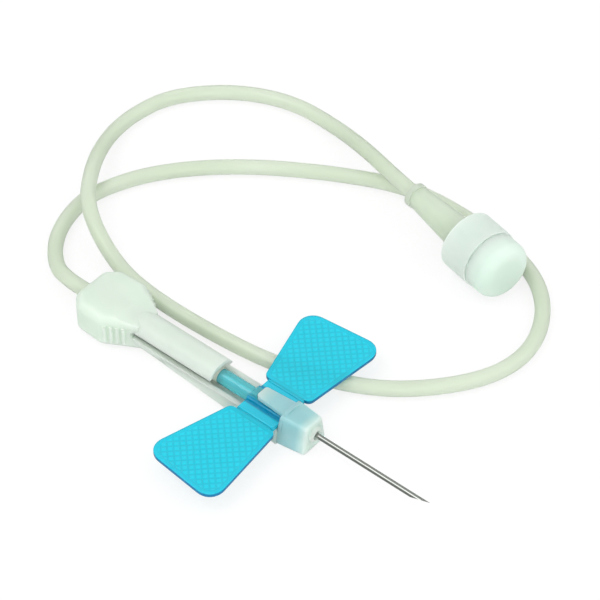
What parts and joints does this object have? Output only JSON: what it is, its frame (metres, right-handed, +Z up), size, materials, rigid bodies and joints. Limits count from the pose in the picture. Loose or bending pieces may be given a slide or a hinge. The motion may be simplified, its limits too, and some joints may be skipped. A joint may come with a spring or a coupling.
{
  "type": "butterfly needle",
  "caption": "Winged needle with a sliding safety housing, looped soft tubing and a capped luer connector.",
  "frame": {"origin": "on the table under the needle's axis, midway between the housing's rear face and the needle's tip", "axes": "+X along the needle to its tip, +Y to the right wing seen from the housing's rear, +Z up"},
  "size_m": [0.0889, 0.0739, 0.0098],
  "materials": {
    "milky_housing": "milky moulded polypropylene, semi-matt",
    "blue_moulding": "soft transparent light blue moulding",
    "needle_steel": "drawn stainless steel tube, polished",
    "clear_adhesive": "cured clear adhesive",
    "soft_tubing": "soft translucent tubing with a faint green tint",
    "connector_plastic": "translucent moulded plastic",
    "cap_plastic": "milky moulded plastic"
  },
  "bodies": {
    "needle_unit": {"wing_hub": "blue_moulding", "needle_cannula": "needle_steel", "needle_adhesive": "clear_adhesive", "tubing_inner": "soft_tubing", "tubing": "soft_tubing", "luer_connector": "connector_plastic"},
    "housing": {"safety_shield": "milky_housing"},
    "left_wing": {"wing_left": "blue_moulding"},
    "right_wing": {"wing_right": "blue_moulding"},
    "cap": {"luer_cap": "cap_plastic"}
  },
  "joints": [
    {"name": "housing_slide", "type": "slide", "parent": "needle_unit", "child": "housing", "axis": [1, 0, 0], "range_m": [0, 0.0212]},
    {"name": "left_wing_fold", "type": "hinge", "parent": "needle_unit", "child": "left_wing", "pos_m": [0, -0.0036, 0.00345], "axis": [-1, 0, 0], "range_deg": [0, 80]},
    {"name": "right_wing_fold", "type": "hinge", "parent": "needle_unit", "child": "right_wing", "pos_m": [0, 0.0036, 0.00345], "axis": [1, 0, 0], "range_deg": [0, 80]},
    {"name": "cap_turn", "type": "hinge", "parent": "needle_unit", "child": "cap", "pos_m": [0.00478, 0.04362, 0.0049], "axis": [0.9744, -0.225, 0], "range_deg": [0, 270]}
  ]
}
